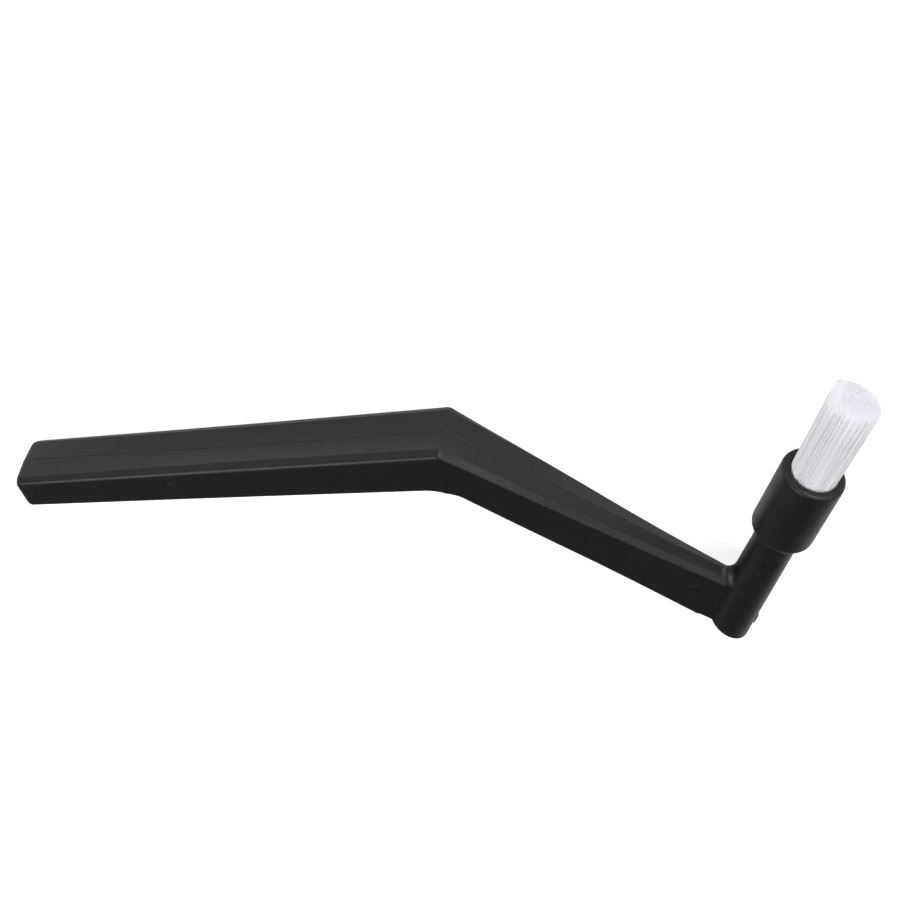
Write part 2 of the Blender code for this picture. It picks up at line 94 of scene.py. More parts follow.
def smoothShade(piece, degrees):
    selectAlone(piece)
    bpy.ops.object.shade_smooth_by_angle(angle=math.radians(degrees))


handle = {
    "gripLength": 0.1126,
    "neckLength": 0.08675,
    "bendAngle": 43.7,
    "postAngle": 106.0,
    "spineBendRadius": 0.0017,
    "bellyBendRadius": 0.011,
    "gripEndDepth": 0.0093,
    "gripBendDepth": 0.0127,
    "neckBendDepth": 0.0101,
    "neckPostDepth": 0.0166,
    "endRounding": 0.0019,
    # share of the arm, half width, facet, facet drop, crown, edge drop, ridge rounding, belly rounding
    "gripSections": (
        (0.0, 0.0084, 0.0021, 0.0009, -0.0006, 0.0, 0.0012, 0.0012),
        (0.53, 0.0079, 0.0021, 0.0009, -0.0006, 0.0, 0.0013, 0.0012),
        (1.0, 0.00765, 0.0015, 0.0009, 0.0003, 0.0, 0.0011, 0.0012),
    ),
    "neckSections": (
        (0.0, 0.0084, 0.0021, 0.0009, -0.0006, 0.0, 0.0012, 0.0012),
        (0.32, 0.0067, 0.0014, 0.0013, 0.0005, 0.0005, 0.0004, 0.0012),
        (0.69, 0.00455, 0.0014, 0.0013, 0.0010, 0.0015, 0.0004, 0.0012),
        (1.0, 0.0029, 0.0014, 0.0013, 0.0013, 0.0018, 0.0008, 0.0006),
    ),
    "edgeRounding": 0.0003,
    # the parting line, and the points beside a rounding that keep its flanks flat
    "seamHeight": 0.00006,
    "seamHalfWidth": 0.00016,
    "supportGap": 0.00018,
    # the fillet between the neck and the post: its rings, the ball that rolls in it, how far it reaches
    "fillet": 0.0026,
    "filletStep": 0.00017,
    "filletStart": 1.32,
    "filletEnd": 0.4,
    "grooveStart": 0.0035,
    "grooveStep": 0.00025,
    "grooveSteps": 40,
    "filletReach": 1.5,
    "filletSkirt": 0.3,
    "sunk": 0.0010,
    "halvings": 22,
    # the post with its slanting foot, and the spigot on its top
    "postFootRadius": 0.0056,
    "postTopRadius": 0.005275,
    "postFootDepth": 0.0169,
    "postFootSpare": 0.006,
    "postFootLedge": 0.0005,
    "postAbove": 0.0196,
    "footRounding": 0.00045,
    "spigotRadius": 0.0045,
    "spigotLength": 0.0105,
    "spigotChamfer": 0.0008,
    # arm, distance from the bend, distance below the spine, way to the mark's deeper side
    "pinMarks": (
        ("grip", 0.0706, 0.0050, (0.8, 0.6)),
        ("neck", 0.0152, 0.0054, (-0.7, -0.7)),
        ("neck", 0.07545, 0.0085, (-0.7, 0.7)),
    ),
    "pinRadius": 0.00165,
    "pinLength": 0.002,
    "pinDepth": 0.00011,
    "pinLean": 0.05,
    "pinSoftening": 0.00007,
    # the round dimple on the post, and the gate's rest on its other side
    "dimpleRadius": 0.0020,
    "dimpleLength": 0.003,
    "dimpleDepth": 0.0006,
    "dimpleAbove": 0.0130,
    "gateBelow": 0.0139,
    "gateSize": (0.0005, 0.0012, 0.0032),
    # between the post's top and the cup
    "seatGap": 0.0003,
    "smoothAngle": 34,
}
bend = math.radians(handle["bendAngle"])
gripWay, gripInward = Vector((1, 0)), Vector((0, 1))
neckWay = Vector((-math.cos(bend), math.sin(bend)))
neckInward = Vector((math.sin(bend), math.cos(bend)))
postWay = Matrix.Rotation(math.radians(handle["postAngle"]), 2) @ neckWay
postOutward = Vector((postWay.y, -postWay.x))
postCrossing = neckWay * handle["neckLength"]
headSeat = handle["postAbove"] + handle["seatGap"]


# Local Z runs up the post, local X points away from the neck, zero is at the neck's spine
def postPlace(height):
    turn = Matrix(((postOutward.x, 0, postWay.x), (postOutward.y, 0, postWay.y), (0, -1, 0)))
    at = postCrossing + postWay * height
    return Matrix.Translation(bendCorner + Vector((at.x, at.y, 0))) @ turn.to_4x4()


def meeting(startA, wayA, startB, wayB):
    cross = wayA.x * wayB.y - wayA.y * wayB.x
    gap = startB - startA
    return startA + wayA * ((gap.x * wayB.y - gap.y * wayB.x) / cross)


def arcAt(corner, wayIn, wayOut, radius, steps):
    turn = wayIn.angle(wayOut)
    start = corner - wayIn * (radius * math.tan(turn / 2))
    centre = start + (wayOut - wayIn * wayIn.dot(wayOut)).normalized() * radius
    angles = [turn * i / steps for i in range(steps + 1)]
    return [centre + (start - centre) * math.cos(a) + wayIn * (radius * math.sin(a)) for a in angles]


# Each value of the section on a smooth curve through its places in the table
def sectionAt(table, share):
    share = min(max(share, 0), 1)
    last = len(table) - 1
    index = next((i for i in range(last) if share <= table[i + 1][0]), last - 1)
    a, b = table[index], table[index + 1]
    before, after = table[max(index - 1, 0)], table[min(index + 2, last)]
    span = b[0] - a[0]
    t = (share - a[0]) / span
    values = []
    for i in range(1, len(a)):
        tangentA = (b[i] - before[i]) / (b[0] - before[0]) * span
        tangentB = (after[i] - a[i]) / (after[0] - a[0]) * span
        values.append(
            a[i] * (2 * t**3 - 3 * t**2 + 1)
            + tangentA * (t**3 - 2 * t**2 + t)
            + b[i] * (3 * t**2 - 2 * t**3)
            + tangentB * (t**3 - t**2)
        )
    return values


# Points (across, inward) of half a section, from the parting line round to the belly, with normals
def halfRing(section, depth, inset=0, fine=1):
    halfWidth, facet, facetDrop, crown, edgeDrop, ridgeRounding, bellyRounding = section
    halfWidth -= inset
    edge = Vector((halfWidth - facet, edgeDrop + inset))
    ridge = Vector((halfWidth, edge.y + facetDrop))
    belly = Vector((halfWidth, depth - inset))
    foot = Vector((0, belly.y))
    seam, rise = handle["seamHalfWidth"], Vector((0, -handle["seamHeight"]))
    # the spine is a shallow hollow on the grip and a roof with flat slopes on the neck
    power = 2 if crown < 0 else 1

    def spineAt(across):
        share = across / edge.x
        place = Vector((across, edge.y - crown * (1 - share**power)))
        return place, Vector((power * crown * share ** (power - 1) / edge.x, -1)).normalized()

    points = []
    turns = 2 * fine
    for i in range(turns):
        place, normal = spineAt(seam * i / turns)
        turned = Vector((0, -1)).lerp(normal, i / turns).normalized()
        # the parting line has a flat top half its width
        points.append((place + rise * min(2 * (1 - i / turns), 1), turned))
    points.append(spineAt(seam))
    start, reach, flat = seam + handle["supportGap"], edge.x - 2 * handle["edgeRounding"], 8 * fine
    points += [spineAt(start + (reach - start) * i / flat) for i in range(flat + 1)]
    apex = spineAt(reach)[0]
    # before, corner, after, rounding, steps of the rounding, steps of the flat that leads to it
    corners = (
        (apex, edge, ridge, handle["edgeRounding"], 4 * fine, 1),
        (edge, ridge, belly, ridgeRounding, 7 * fine, 2),
        (ridge, belly, foot, bellyRounding, 8 * fine, 14),
    )
    for before, corner, after, rounding, steps, flat in corners:
        wayIn, wayOut = (corner - before).normalized(), (after - corner).normalized()
        normalIn, normalOut = Vector((wayIn.y, -wayIn.x)), Vector((wayOut.y, -wayOut.x))
        turn = wayIn.angle(wayOut)
        arc = arcAt(corner, wayIn, wayOut, rounding, steps)
        start, end = points[-1][0], arc[0] - wayIn * handle["supportGap"]
        points += [(start.lerp(end, i / flat), normalIn) for i in range(1, flat + 1)]
        for i, point in enumerate(arc):
            angle = turn * i / steps
            points.append((point, normalIn * math.cos(angle) + wayIn * math.sin(angle)))
        points.append((arc[-1] + wayOut * handle["supportGap"], normalOut))
    start = points[-1][0]
    points += [(start.lerp(foot, i / 3), Vector((0, 1))) for i in range(1, 4)]
    return points


def postRadius(height):
    share = (height + handle["postFootDepth"]) / (handle["postAbove"] + handle["postFootDepth"])
    return handle["postFootRadius"] + (handle["postTopRadius"] - handle["postFootRadius"]) * share


# Distance from the post's axis, and height up the post
def fromAxis(place):
    flat = place.xy - postCrossing
    return math.hypot(flat.dot(postOutward), place.z), flat.dot(postWay)


def placeOn(spine, inward, point):
    flat = spine + inward * point.y
    return Vector((flat.x, flat.y, point.x))


# True but for the normals of a section's belly
def facesOut(normal):
    return normal.y <= 0.001


# Where the centre of a ball runs that touches the neck and the post: the fillet lies one radius from it.
# Also the neck's normal and the way to the post's axis at each centre
def makeGroove(bellyAt):
    size = handle
    inward, radius = -postWay, size["fillet"]
    start = size["neckLength"] - size["grooveStart"]
    distances = [start - size["grooveStep"] * i for i in range(size["grooveSteps"])]
    rows = []
    for distance in distances:
        spine = neckWay * distance
        depth = (bellyAt(spine, inward) - spine).length
        outline = halfRing(sectionAt(size["neckSections"], distance / size["neckLength"]), depth, fine=4)
        rows.append([(placeOn(spine, inward, point), normal) for point, normal in outline])
    track = []
    for column in range(len(rows[0])):
        if not facesOut(rows[0][column][1]):
            break
        before = None
        for near, far in zip(rows, rows[1:]):
            place, normal = near[column]
            along = far[column][0] - place
            across = placeOn(origin, inward, Vector((-normal.y, normal.x)))
            outward = across.cross(along).normalized()
            if outward.dot(placeOn(origin, inward, normal)) < 0:
                outward.negate()
            centre = place + outward * radius
            away, height = fromAxis(centre)
            spare = away - postRadius(height) - radius
            if before and before[0] < 0 <= spare:
                share = before[0] / (before[0] - spare)
                track.append((before[1].lerp(centre, share), before[2].lerp(outward, share).normalized()))
                break
            before = (spare, centre, outward)
    centres, normals, toPosts = [], [], []
    parts = 5
    for (centreA, normalA), (centreB, normalB) in zip(track, track[1:]):
        for i in range(parts):
            centre = centreA.lerp(centreB, i / parts)
            normal = normalA.lerp(normalB, i / parts).normalized()
            axis = postCrossing + postWay * fromAxis(centre)[1]
            centres.append(centre)
            normals.append(normal)
            toPosts.append((Vector((axis.x, axis.y, 0)) - centre).normalized())
    return np.array(centres), normals, toPosts


# Two close bounds of the least value at which a test holds
def halve(low, high, holds):
    for _ in range(handle["halvings"]):
        middle = (low + high) / 2
        if holds(middle):
            high = middle
        else:
            low = middle
    return low, high


# How far out a point of the neck moves to lie on the fillet, or just under the post's skin past it
def filletRise(place, way, groove):
    centres, normals, toPosts = groove
    radius = handle["fillet"]
    highest = radius * handle["filletReach"]

    def nearest(rise):
        gaps = centres - np.array(place + way * rise)
        squares = (gaps * gaps).sum(axis=1)
        index = int(squares.argmin())
        return index, math.sqrt(squares[index])

    def pastSkin(rise):
        away, height = fromAxis(place + way * rise)
        return away >= postRadius(height) - sunk

    away, height = fromAxis(place)
    farEnough = nearest(highest)[1] <= radius
    reached = farEnough or nearest(radius)[1] <= radius
    if not reached and away > postRadius(height) + radius * handle["filletSkirt"]:
        return 0
    sunk = handle["sunk"]
    if reached:
        high = halve(0, highest if farEnough else radius, lambda rise: nearest(rise)[1] <= radius)[1]
        index = nearest(high)[0]
        moved = place + way * high
        centre, toPost = Vector(centres[index]), toPosts[index]
        ray = (moved - centre).normalized()
        if ray.dot(toPost) < -normals[index].dot(toPost):
            return 0
        if ray.dot(normals[index]) <= toPost.dot(normals[index]):
            return high
        sunk = (moved - (centre + toPost * radius)).length * 0.5
    return halve(0, highest, pastSkin)[0]


def ringAt(spine, belly, section, inset=0, groove=None):
    inward = (belly - spine).normalized()
    half, sideRise = [], 0
    for point, normal in halfRing(section, (belly - spine).length, inset):
        place = placeOn(spine, inward, point)
        if groove and facesOut(normal):
            way = placeOn(origin, inward, normal)
            sideRise = filletRise(place, way, groove)
            place += way * sideRise
        elif groove:
            place.z += normal.x * sideRise
        half.append(place)
    return half + [Vector((p.x, p.y, -p.z)) for p in reversed(half[1:-1])]


# The sections' rings from the grip's end round the bend to the post
def handleRings():
    size = handle
    gripStart = Vector((0, size["gripBendDepth"]))
    gripBelly = (gripStart - Vector((size["gripLength"], size["gripEndDepth"]))).normalized()
    neckStart = neckInward * size["neckBendDepth"]
    wall = neckWay * (size["neckLength"] - size["postFootRadius"]) + neckInward * size["neckPostDepth"]
    neckBelly = (wall - neckStart).normalized()
    endSteps, gripSteps, bendSteps, spineSteps, neckSteps = 9, 14, 28, 6, 20
    corner = meeting(gripStart, gripBelly, neckStart, neckBelly)
    bellyArc = arcAt(corner, gripBelly, neckBelly, size["bellyBendRadius"], bendSteps)
    spineArc = arcAt(origin, -gripWay, neckWay, size["spineBendRadius"], spineSteps)

    def gripSection(distance):
        return sectionAt(size["gripSections"], distance / size["gripLength"])

    def neckSection(distance):
        return sectionAt(size["neckSections"], distance / size["neckLength"])

    def gripRing(along, inset=0):
        spine = gripWay * along
        belly = meeting(spine, gripInward, gripStart, gripBelly)
        return ringAt(spine, belly, gripSection(along), inset)

    rings = []
    for step in range(endSteps + 1):
        angle = math.radians(90 - 90 / endSteps * step)
        inset = size["endRounding"] * (1 - math.cos(angle))
        rings.append(gripRing(size["gripLength"] - size["endRounding"] * (1 - math.sin(angle)), inset))
    gripBend = bellyArc[0].x
    gripFull = size["gripLength"] - size["endRounding"]
    for step in range(1, gripSteps + 1):
        rings.append(gripRing(gripFull + (gripBend - gripFull) * step / gripSteps))
    neckBend = bellyArc[-1].dot(neckWay)
    reach = spineArc[0].length
    straight = (bendSteps - spineSteps) // 2
    for step in range(1, bendSteps):
        if step < straight:
            distance = gripBend + (reach - gripBend) * step / straight
            spine, section = gripWay * distance, gripSection(distance)
        elif step <= straight + spineSteps:
            spine, section = spineArc[step - straight], gripSection(0)
        else:
            distance = neckBend + (reach - neckBend) * (bendSteps - step) / straight
            spine, section = neckWay * distance, neckSection(distance)
        rings.append(ringAt(spine, bellyArc[step], section))
    lean = math.sin(math.radians(size["postAngle"]))
    # from here on the sections turn, until they lie along the post where the fillet starts
    turnStart = 0.6
    offset = size["postFootRadius"] + size["fillet"] * size["filletStart"]
    filletStart = size["neckLength"] - offset / lean
    for step in range(neckSteps + 1):
        share = step / neckSteps
        spine = neckWay * (neckBend + (filletStart - neckBend) * share)
        turned = max(share - turnStart, 0) / (1 - turnStart)
        inward = neckInward * (1 - turned) - postWay * turned
        belly = meeting(spine, inward, neckStart, neckBelly)
        rings.append(ringAt(spine, belly, neckSection(spine.length)))
    lowest = size["postFootDepth"] - size["postFootLedge"]

    def bellyAt(spine, inward):
        belly = meeting(spine, inward, neckStart, neckBelly)
        if belly.dot(neckInward) > lowest:
            belly = meeting(spine, inward, neckInward * lowest, neckWay)
        return belly

    groove = makeGroove(bellyAt)
    while offset > size["postFootRadius"] * size["filletEnd"]:
        offset -= size["filletStep"]
        spine = neckWay * (size["neckLength"] - offset / lean)
        rings.append(ringAt(spine, bellyAt(spine, -postWay), neckSection(spine.length), groove=groove))
    return rings


# A face is extruded from ring to ring, each point keeping its order in the ring
def extrudeThrough(name, rings):
    deselectAll()
    bpy.ops.mesh.primitive_circle_add(vertices=len(rings[0]), radius=0.01, fill_type="NGON")
    piece = bpy.context.object
    piece.name = name
    bpy.ops.object.mode_set(mode="EDIT")
    shape = bmesh.from_edit_mesh(piece.data)
    order = shape.verts.layers.int.new("order")
    for index, vert in enumerate(shape.verts):
        vert[order] = index
    bmesh.update_edit_mesh(piece.data)
    for count, ring in enumerate(rings):
        if count:
            bpy.ops.mesh.extrude_region_move()
        shape = bmesh.from_edit_mesh(piece.data)
        order = shape.verts.layers.int["order"]
        for vert in shape.verts:
            if vert.select:
                vert.co = bendCorner + ring[vert[order]]
        bmesh.update_edit_mesh(piece.data)
    bpy.ops.mesh.select_all(action="SELECT")
    bpy.ops.mesh.normals_make_consistent(inside=False)
    bpy.ops.object.mode_set(mode="OBJECT")
    applyPlace(piece)
    return piece


def makePost():
    size = handle
    low = -size["postFootDepth"] - size["postFootSpare"]
    depth = size["postAbove"] - low
    deselectAll()
    bpy.ops.mesh.primitive_cylinder_add(
        vertices=128, radius=size["postFootRadius"], depth=depth, location=(0, 0, low + depth / 2)
    )
    post = bpy.context.object
    applyPlace(post)
    editAlone(post)
    # the foot is cut parallel to the neck's spine, and the cut's edge is rounded
    normal = Vector((neckInward.dot(postOutward), 0, neckInward.dot(postWay)))
    bpy.ops.mesh.select_all(action="SELECT")
    bpy.ops.mesh.bisect(
        plane_co=normal * size["postFootDepth"], plane_no=normal, use_fill=True, clear_outer=True
    )
    selectWhere(post, "faces", lambda f: f.normal.dot(normal) > 0.99)
    bpy.ops.mesh.region_to_loop()
    bpy.ops.mesh.bevel(offset=size["footRounding"], segments=6, affect="EDGES")
    # rings up the wall, its draft, and the parting line down both sides
    selectWhere(post, "edges", lambda e: abs(e.verts[0].co.z - e.verts[1].co.z) > depth / 2)
    bpy.ops.mesh.subdivide(number_cuts=60)
    shape = bmesh.from_edit_mesh(post.data)
    for vert in shape.verts:
        onWall = vert.co.xy.length > size["postFootRadius"] * 0.99
        vert.co.xy *= postRadius(vert.co.z) / size["postFootRadius"]
        if onWall and abs(vert.co.y) < 0.00001:
            vert.co.x += math.copysign(size["seamHeight"], vert.co.x)
    bmesh.update_edit_mesh(post.data)
    # the spigot that the cup fits
    selectWhere(post, "faces", lambda f: f.normal.z > 0.9)
    bpy.ops.mesh.inset(thickness=size["postTopRadius"] - size["spigotRadius"])
    bpy.ops.mesh.extrude_region_move(TRANSFORM_OT_translate={"value": (0, 0, size["spigotLength"])})
    bpy.ops.mesh.region_to_loop()
    bpy.ops.mesh.bevel(offset=size["spigotChamfer"], segments=3, affect="EDGES")
    bpy.ops.mesh.select_all(action="SELECT")
    bpy.ops.mesh.normals_make_consistent(inside=False)
    bpy.ops.object.mode_set(mode="OBJECT")
    post.matrix_world = postPlace(0)
    applyPlace(post)
    return post


# A pin with a softened edge presses a round mark as deep as it is placed
def pressMark(piece, radius, length, place, normal):
    deselectAll()
    bpy.ops.mesh.primitive_cylinder_add(
        vertices=48, radius=radius, depth=length, location=(0, 0, length / 2)
    )
    pin = bpy.context.object
    applyPlace(pin)
    editAlone(pin)
    selectWhere(pin, "edges", lambda e: max(v.co.z for v in e.verts) < length * 0.01)
    bpy.ops.mesh.bevel(offset=handle["pinSoftening"], segments=2, affect="EDGES")
    bpy.ops.object.mode_set(mode="OBJECT")
    pin.matrix_world = Matrix.Translation(place) @ normal.to_track_quat("Z", "Y").to_matrix().to_4x4()
    applyPlace(pin)
    booleanApply(piece, pin, "DIFFERENCE")


def makeHandle():
    size = handle
    piece = extrudeThrough("handleMoulding", handleRings())
    booleanApply(piece, makePost(), "UNION")
    print("handle joined to its post")
    # the gate's rest, on the post's side away from the neck
    deselectAll()
    bpy.ops.mesh.primitive_cube_add(size=1)
    nub = bpy.context.object
    proud, wide, tall = size["gateSize"]
    reach = postRadius(-size["gateBelow"]) + proud
    nub.matrix_world = (
        postPlace(-size["gateBelow"])
        @ Matrix.Translation((reach / 2, 0, 0))
        @ Matrix.Diagonal((reach, wide, tall, 1))
    )
    applyPlace(nub)
    booleanApply(piece, nub, "UNION")
    arms = {
        "grip": (gripWay, gripInward, size["gripSections"], size["gripLength"]),
        "neck": (neckWay, neckInward, size["neckSections"], size["neckLength"]),
    }
    # the ejector marks: the side's slope is taken from its width on both sides of the mark
    apart = 0.0015
    for arm, along, below, deeper in size["pinMarks"]:
        way, inward, table, length = arms[arm]
        near = sectionAt(table, (along - apart) / length)[0]
        far = sectionAt(table, (along + apart) / length)[0]
        slope = (far - near) / (2 * apart)
        normal = Vector((-way.x * slope, -way.y * slope, 1)).normalized()
        flat = way * along + inward * below
        place = bendCorner + Vector((flat.x, flat.y, (near + far) / 2)) - normal * size["pinDepth"]
        lean = (normal + Vector((*deeper, 0)) * size["pinLean"]).normalized()
        pressMark(piece, size["pinRadius"], size["pinLength"], place, lean)
    flat = postCrossing + postWay * size["dimpleAbove"]
    height = postRadius(size["dimpleAbove"]) - size["dimpleDepth"]
    place = bendCorner + Vector((flat.x, flat.y, height))
    pressMark(piece, size["dimpleRadius"], size["dimpleLength"], place, Vector((0, 0, 1)))
    smoothShade(piece, size["smoothAngle"])
    print("handle finished,", len(piece.data.polygons), "faces")
    return piece


cup = {
    "radius": 0.00775,
    "length": 0.02215,
    "footRounding": 0.0021,
    "rimRounding": 0.0010,
    "boreRadius": 0.00565,
    "boreDepth": 0.00965,
    "boreRounding": 0.00025,
    "socketRadius": 0.00465,
    "socketDepth": 0.0105,
    "socketChamfer": 0.0004,
    "smoothAngle": 40,
}


# Tests for the edges of a level ring of that radius at that height
def ringEdges(radius, height):

    def test(edge):
        a, b = (v.co for v in edge.verts)
        level = abs(a.z - height) < 1e-6 and abs(b.z - height) < 1e-6
        return level and abs(a.xy.length - radius) < 1e-5 and abs(b.xy.length - radius) < 1e-5

    return test


def makeCup():
    size = cup
    deselectAll()
    bpy.ops.mesh.primitive_cylinder_add(
        vertices=160, radius=size["radius"], depth=size["length"], location=(0, 0, size["length"] / 2)
    )
    piece = bpy.context.object
    piece.name = "cupTurned"
    applyPlace(piece)
    editAlone(piece)
    selectWhere(piece, "faces", lambda f: f.normal.z > 0.9)
    bpy.ops.mesh.inset(thickness=size["radius"] - size["boreRadius"])
    bpy.ops.mesh.extrude_region_move(TRANSFORM_OT_translate={"value": (0, 0, -size["boreDepth"])})
    selectWhere(piece, "faces", lambda f: f.normal.z < -0.9 and f.calc_center_median().z < 1e-5)
    bpy.ops.mesh.inset(thickness=size["radius"] - size["socketRadius"])
    bpy.ops.mesh.extrude_region_move(TRANSFORM_OT_translate={"value": (0, 0, size["socketDepth"])})
    roundings = (
        (size["radius"], size["length"], size["rimRounding"], 8),
        (size["radius"], 0, size["footRounding"], 10),
        (size["boreRadius"], size["length"], size["boreRounding"], 4),
        (size["socketRadius"], 0, size["socketChamfer"], 3),
    )
    for radius, height, rounding, segments in roundings:
        selectWhere(piece, "edges", ringEdges(radius, height))
        bpy.ops.mesh.bevel(offset=rounding, segments=segments, affect="EDGES")
    bpy.ops.mesh.select_all(action="SELECT")
    bpy.ops.mesh.normals_make_consistent(inside=False)
    bpy.ops.object.mode_set(mode="OBJECT")
    piece.matrix_world = postPlace(headSeat)
    applyPlace(piece)
    smoothShade(piece, size["smoothAngle"])
    print("cup finished,", len(piece.data.polygons), "faces")
    return piece


# Heights start at the cup's foot, as the cup's own do
tuft = {
    "count": 2100,
    "filamentRadius": 0.000122,
    # height of the rounded tip, as a share of the length, and how far it narrows
    "tipRounding": 0.003,
    "tipNarrowing": 0.62,
    "rootHeight": 0.0145,
    "rootRadius": 0.0053,
    "tipHeight": 0.04705,
    "tipRadius": 0.0060,
    "tipSlope": 4.0,
    # direction from the local X axis, height, how narrow: the long corner and the short edge beside it
    "rimForms": ((160.0, 0.0023, 6), (-165.0, -0.0026, 6)),
    "rimFall": 0.0006,
    # direction and depth of the furrows between clumps
    "furrows": ((-104.0, 0.00030), (-91.0, 0.00045), (-78.0, 0.00055), (-64.0, 0.00060), (-48.0, 0.00050)),
    "furrowWidth": 3.0,
    # how unlike the filaments are in length, place and bow
    "lengthSpread": 0.00014,
    "placeSpread": 0.00005,
    "bowSpread": 0.00006,
    # how far the tips of neighbours waver together, more in the middle of the tuft than at its rim
    "waver": 0.00003,
    "waverInside": 1.2,
    "waverFall": 0.6,
    "waverScale": 900.0,
    "seed": 11,
    "smoothAngle": 50,
}


# One filament, a unit long, with rings to bend at and a rounded tip
def makeFilament():
    deselectAll()
    bpy.ops.mesh.primitive_cylinder_add(vertices=6, radius=1, depth=1, location=(0, 0, 0.5))
    strand = bpy.context.object
    applyPlace(strand)
    editAlone(strand)
    selectWhere(strand, "edges", lambda e: abs(e.verts[0].co.z - e.verts[1].co.z) > 0.5)
    bpy.ops.mesh.subdivide(number_cuts=3)
    selectWhere(strand, "faces", lambda f: f.normal.z > 0.9)
    bpy.ops.mesh.extrude_region_move(TRANSFORM_OT_translate={"value": (0, 0, tuft["tipRounding"])})
    bpy.ops.transform.resize(value=(tuft["tipNarrowing"], tuft["tipNarrowing"], 1))
    bpy.ops.object.mode_set(mode="OBJECT")
    return strand


def makeTuft():
    size = tuft
    dice = random.Random(size["seed"])
    # unless it is seeded, noise_vector gives other values on each run
    noise.seed_set(size["seed"])
    strand = makeFilament()
    corners = [vert.co.copy() for vert in strand.data.vertices]
    faces = [tuple(face.vertices) for face in strand.data.polygons]
    bpy.data.objects.remove(strand, do_unlink=True)
    golden = math.pi * (3 - math.sqrt(5))
    slope = math.tan(math.radians(size["tipSlope"]))
    points, polygons = [], []
    for index in range(size["count"]):
        share = math.sqrt((index + 0.5) / size["count"])
        angle = index * golden
        way = Vector((math.cos(angle), math.sin(angle), 0))
        degrees = math.degrees(math.atan2(way.y, way.x))
        rise = sum(
            height * max(0, math.cos(math.radians(degrees - at))) ** power * share**3
            for at, height, power in size["rimForms"]
        )
        rise -= size["rimFall"] * share**7
        pull = sum(
            depth * math.exp(-(((degrees - at) / size["furrowWidth"]) ** 2)) * share**3
            for at, depth in size["furrows"]
        )
        jitter = Vector((dice.uniform(-1, 1), dice.uniform(-1, 1), 0)) * size["placeSpread"]
        root = way * (size["rootRadius"] * share) + jitter
        tip = way * (size["tipRadius"] * share - pull) + jitter
        waver = noise.noise_vector(root * size["waverScale"]) * size["waver"]
        tip += Vector((waver.x, waver.y, 0)) * (size["waverInside"] - share * size["waverFall"])
        bow = Vector((dice.uniform(-1, 1), dice.uniform(-1, 1), 0)) * size["bowSpread"]
        root.z = size["rootHeight"]
        tip.z = size["tipHeight"] + rise - tip.x * slope + dice.uniform(-1, 1) * size["lengthSpread"]
        spin = dice.uniform(0, math.pi)
        cosine, sine = math.cos(spin), math.sin(spin)
        first = len(points)
        for corner in corners:
            turned = Vector((corner.x * cosine - corner.y * sine, corner.x * sine + corner.y * cosine, 0))
            along = corner.z
            centre = root.lerp(tip, along) + bow * (4 * along * (1 - along))
            points.append(centre + turned * size["filamentRadius"])
        polygons += [tuple(first + i for i in face) for face in faces]
    mesh = bpy.data.meshes.new("bristleTuft")
    mesh.from_pydata(points, [], polygons)
    piece = bpy.data.objects.new("bristleTuft", mesh)
    bpy.context.scene.collection.objects.link(piece)
    piece.matrix_world = postPlace(headSeat)
    applyPlace(piece)
    smoothShade(piece, size["smoothAngle"])
    print("tuft finished,", len(piece.data.polygons), "faces")
    return piece


def fromHex(text):
    channels = [int(text[i : i + 2], 16) / 255 for i in (0, 2, 4)]
    return (*(c / 12.92 if c <= 0.04045 else ((c + 0.055) / 1.055) ** 2.4 for c in channels), 1)


# A node with its settings, and its inputs set or linked: i0, i1 by their number, others by their name
def addNode(tree, kind, settings=None, **links):
    node = tree.nodes.new(kind)
    for key, value in (settings or {}).items():
        setattr(node, key, value)
    for key, value in links.items():
        socket = node.inputs[int(key[1:]) if key[1:].isdigit() else key.replace("_", " ")]
        if isinstance(value, bpy.types.NodeSocket):
            tree.links.new(value, socket)
        else:
            socket.default_value = value
    return node


def mixColours(tree, factor, first, second):
    return addNode(
        tree, "ShaderNodeMix", {"data_type": "RGBA"}, i0=factor, i6=fromHex(first), i7=fromHex(second)
    )


def newMaterial(name):
    material = bpy.data.materials.new(name)
    material.use_nodes = True
    tree = material.node_tree
    return material, tree, tree.nodes["Principled BSDF"]


# Black polypropylene from a spark-finished mould: near black, satin, its grain about 0.4 mm
def mouldedPolypropylene():
    material, tree, shader = newMaterial("mouldedPolypropylene")
    place = addNode(tree, "ShaderNodeTexCoord").outputs["Object"]
    cloudy = addNode(tree, "ShaderNodeTexNoise", Vector=place, Scale=160.0, Detail=3.0, Roughness=0.55)
    grain = addNode(tree, "ShaderNodeTexNoise", Vector=place, Scale=2600.0, Detail=2.0, Roughness=0.6)
    speck = addNode(tree, "ShaderNodeMapRange", Value=grain.outputs["Fac"], From_Min=0.35, From_Max=0.65)
    tint = mixColours(tree, speck.outputs["Result"], "0b0a0c", "1c1a1c")
    spread = {"From_Min": 0.3, "From_Max": 0.7, "To_Min": 0.40, "To_Max": 0.46}
    sheen = addNode(tree, "ShaderNodeMapRange", Value=cloudy.outputs["Fac"], **spread)
    bump = addNode(tree, "ShaderNodeBump", Height=grain.outputs["Fac"], Strength=0.3, Distance=0.00002)
    tree.links.new(tint.outputs[2], shader.inputs["Base Color"])
    tree.links.new(sheen.outputs["Result"], shader.inputs["Roughness"])
    tree.links.new(bump.outputs["Normal"], shader.inputs["Normal"])
    shader.inputs["IOR"].default_value = 1.49
    shader.inputs["Specular IOR Level"].default_value = 0.32
    return material


